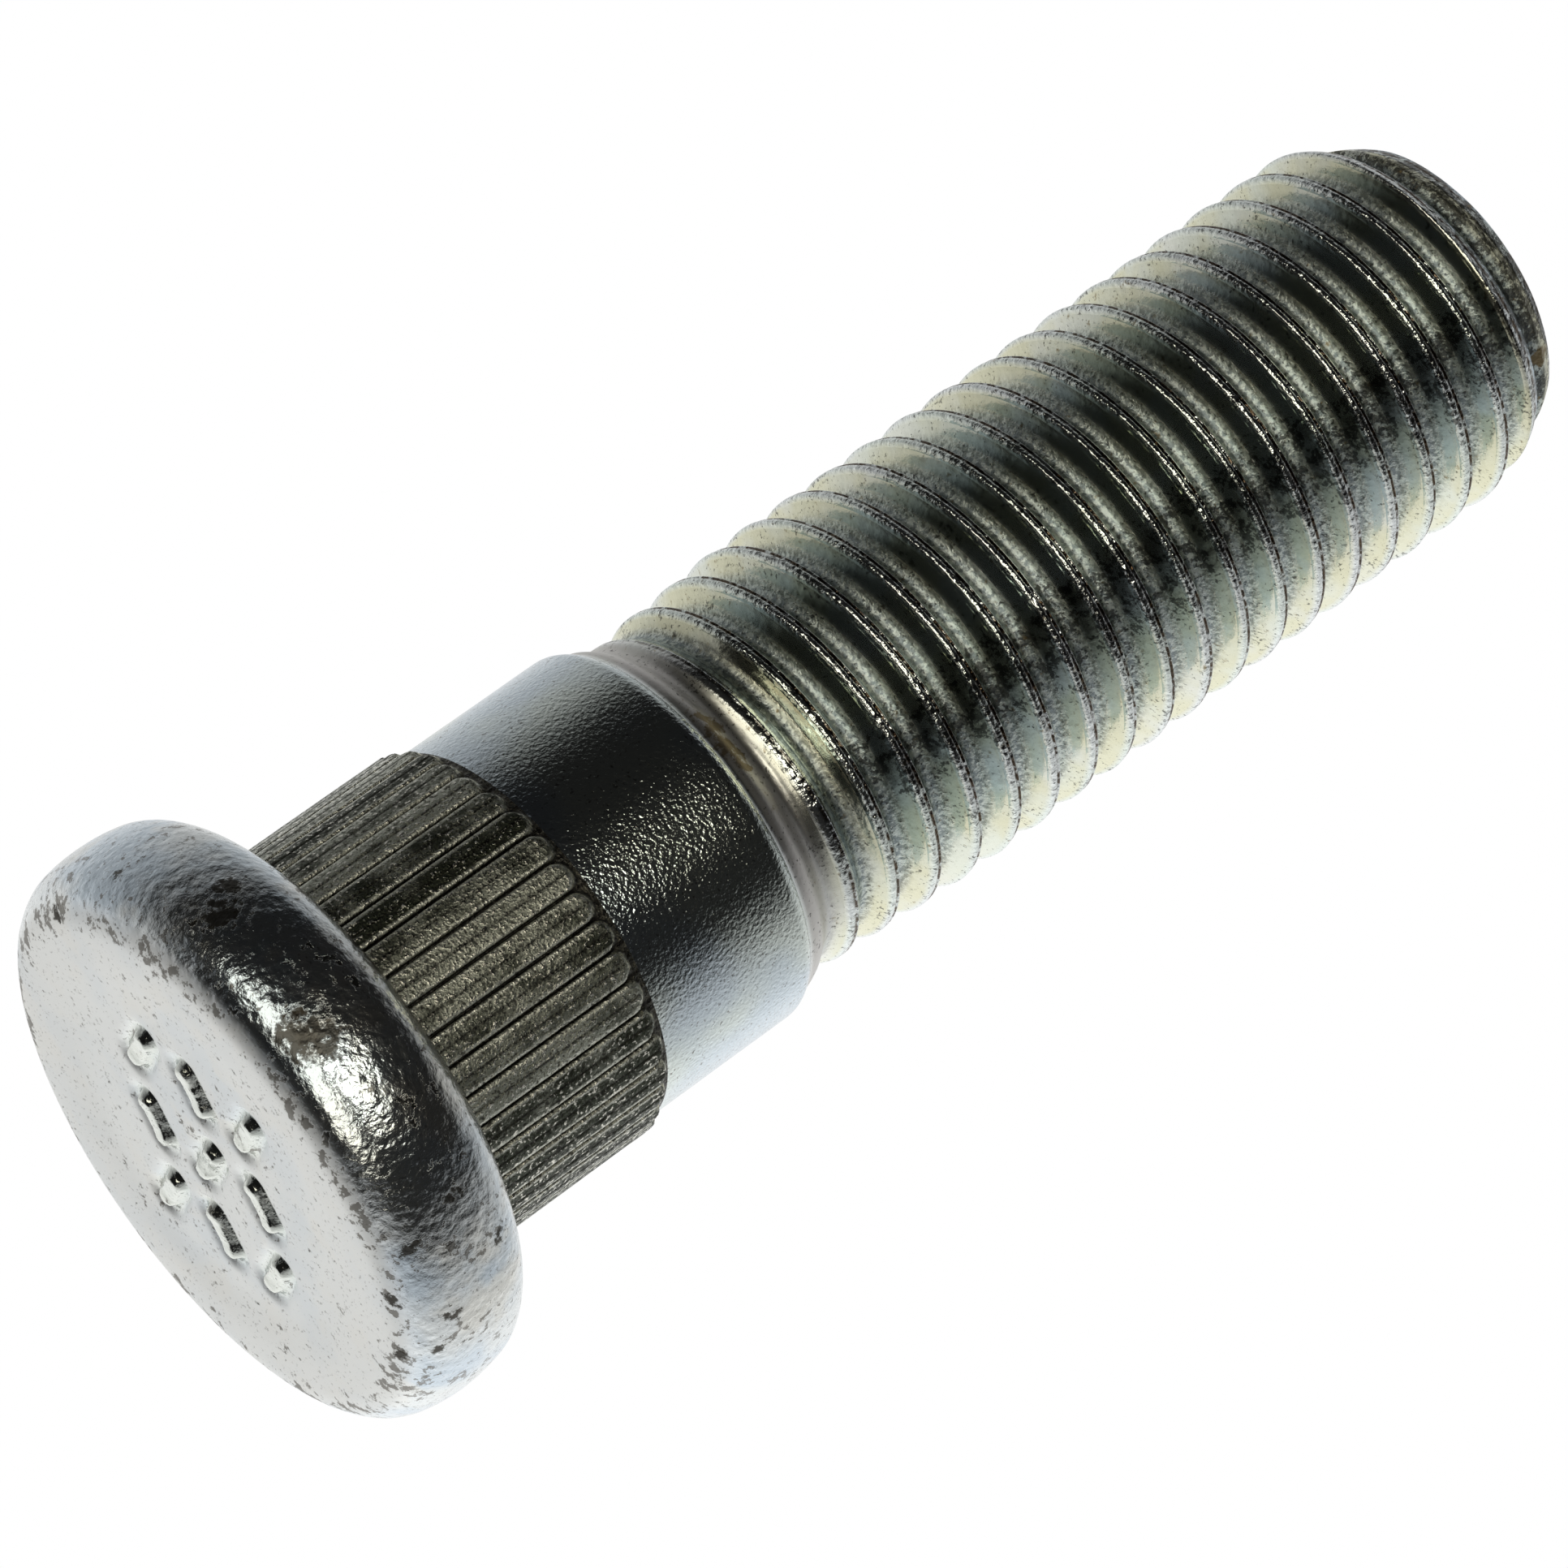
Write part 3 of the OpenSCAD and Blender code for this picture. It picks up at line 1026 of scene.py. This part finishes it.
# Studio tent: white, dark on the camera's side and under the stud, and a little brighter on the right.
# The shades run from the far side of the tent, at 0, to the side toward DARK_TURN, at 1.
TENT_R = 420.0
TENT_SEGMENTS = 48
TENT_RINGS = 24
DARK_TURN = -9.0
RIGHT_SHARE = 0.22
TENT_SHADES = [
    (0.0, 1.0), (0.1, 0.85), (0.25, 0.55), (0.4, 0.42), (0.52, 0.25), (0.6, 0.12), (0.66, 0.03),
    (0.7, 0.012), (1.0, 0.008),
]
UNDER_TURN = -90
UNDER_ELEVATION = -84
UNDER_REACH = (0.81, 0.90)
UNDER_DARK = 0.3

# Two warm soft boxes in the dark: name, turn and elevation of their place, roll, width, height and
# brightness
SOFT_BOXES = [
    ("low_box", -12, -33, -18, 420.0, 190.0, 1.55),
    ("middle_box", 4, 3, 0, 150.0, 110.0, 2.9),
]
BOX_DISTANCE = 330.0
WARM = (1.0, 0.94, 0.80)

# Plain light of the world, apart from where it is seen as white
WORLD_LIGHT = 0.6

# Floor: it fades out between two shares of its radius
FLOOR_R = 260.0
FLOOR_DROP = 0.05
FLOOR_POINTS = 128
FLOOR_FADE = (0.35, 0.98)
FLOOR_COLOUR = (0.9, 0.9, 0.9)
FLOOR_GLOW = 0.55
WHITE = (1.0, 1.0, 1.0)


def bare_material(name):
    """A material without nodes, and the calls that add them."""
    material = bpy.data.materials.new(name)
    material.use_nodes = True
    material.node_tree.nodes.clear()
    return material, Nodes(material.node_tree)


def tent_light():
    """Light that is dark toward the camera's side and under the stud, and brighter toward the right."""
    material, n = bare_material("tent")
    place = n.unit(n.add("NewGeometry").outputs["Position"])
    front = n.straight(n.along(place, toward(DARK_TURN, 0)), -1, 1)
    below = n.along(place, toward(UNDER_TURN, UNDER_ELEVATION))
    dark = n.plus(front, n.straight(below, *UNDER_REACH, 0, UNDER_DARK))
    strength = n.plus(n.times(n.along(place, SIDE), RIGHT_SHARE), 1.0)
    n.surface(n.glow(n.greys(dark, TENT_SHADES), strength))
    return material


def studio_tent():
    """A sphere round the stud that only reflections and light see."""
    bpy.ops.mesh.primitive_uv_sphere_add(segments=TENT_SEGMENTS, ring_count=TENT_RINGS, radius=TENT_R * MM)
    tent = bpy.context.object
    tent.name = "tent"
    tent.visible_camera = False
    tent.data.materials.append(tent_light())


def soft_boxes():
    """The lamps that make the warm highlights."""
    for name, turn, elevation, roll, width, height, brightness in SOFT_BOXES:
        lamp = bpy.data.lights.new(name, "AREA")
        lamp.shape = "RECTANGLE"
        lamp.size, lamp.size_y = width * MM, height * MM
        lamp.color = WARM
        lamp.energy = brightness * math.pi * lamp.size * lamp.size_y
        box = bpy.data.objects.new(name, lamp)
        direction = toward(turn, elevation)
        box.location = direction * BOX_DISTANCE * MM
        upright = direction.to_track_quat("Z", "Y").to_matrix()
        box.rotation_euler = (upright @ Matrix.Rotation(math.radians(roll), 3, "Z")).to_euler()
        bpy.context.scene.collection.objects.link(box)


def white_world():
    """White to the camera, in reflections and through what is clear, and plain grey light for the rest."""
    world = bpy.data.worlds.new("studio")
    bpy.context.scene.world = world
    world.use_nodes = True
    n = Nodes(world.node_tree)
    rays = n.add("LightPath").outputs
    seen = n.larger(n.larger(rays["Is Camera Ray"], rays["Is Glossy Ray"]), rays["Is Transmission Ray"])
    background = world.node_tree.nodes["Background"]
    n.link(WHITE, background.inputs["Color"])
    n.link(n.straight(seen, 0, 1, WORLD_LIGHT, 1), background.inputs["Strength"])


def floor_white():
    """Pale matt white that fades out toward the floor's edge and is clear from below."""
    material, n = bare_material("floor")
    place = n.add("NewGeometry").outputs
    matt = n.add("BsdfDiffuse")
    n.link(FLOOR_COLOUR, matt.inputs["Color"])
    pale = n.add("AddShader")
    n.link(matt.outputs["BSDF"], pale.inputs[0])
    n.link(n.glow(WHITE, FLOOR_GLOW), pale.inputs[1])
    fade_start, fade_end = [share * FLOOR_R * MM for share in FLOOR_FADE]
    faded = n.span(n.length(place["Position"]), fade_start, fade_end)
    whole = n.add("MixShader")
    n.link(n.larger(faded, place["Backfacing"]), whole.inputs["Fac"])
    n.link(pale.outputs["Shader"], whole.inputs[1])
    n.link(n.add("BsdfTransparent").outputs["BSDF"], whole.inputs[2])
    n.surface(whole.outputs["Shader"])
    return material


def studio_floor():
    """A pale round floor that keeps the stud's shadow. Reflections and other light pass it by."""
    bpy.ops.mesh.primitive_circle_add(vertices=FLOOR_POINTS, radius=FLOOR_R * MM, fill_type="NGON",
                                      location=(0, 0, -FLOOR_DROP * MM))
    floor = bpy.context.object
    floor.name = "floor"
    floor.visible_glossy = False
    floor.visible_diffuse = False
    floor.visible_shadow = False
    floor.data.materials.append(floor_white())


def photo_camera():
    """The camera at the photograph's place, with its own roll."""
    camera = bpy.data.objects.new("camera", bpy.data.cameras.new("camera"))
    bpy.context.scene.collection.objects.link(camera)
    bpy.context.scene.camera = camera
    camera.data.lens = LENS
    camera.data.clip_start = CLIP_START * MM
    camera.data.clip_end = CLIP_END * MM
    back = math.cos(VIEW_ELEVATION) * OUT + math.sin(VIEW_ELEVATION) * UP
    level_up = back.cross(SIDE)
    right = math.cos(VIEW_ROLL) * SIDE + math.sin(VIEW_ROLL) * level_up
    up = back.cross(right)
    place = VIEW_OUT * OUT + VIEW_SIDE * SIDE + VIEW_HEIGHT * UP
    camera.matrix_world = Matrix.Translation(place * MM) @ Matrix((right, up, back)).transposed().to_4x4()


bpy.context.scene.view_settings.view_transform = "Standard"
build_stud({"head": head_metal(), "knurl": knurl_metal(), "collar": collar_metal(), "thread": thread_metal()})
studio_tent()
soft_boxes()
white_world()
studio_floor()
photo_camera()
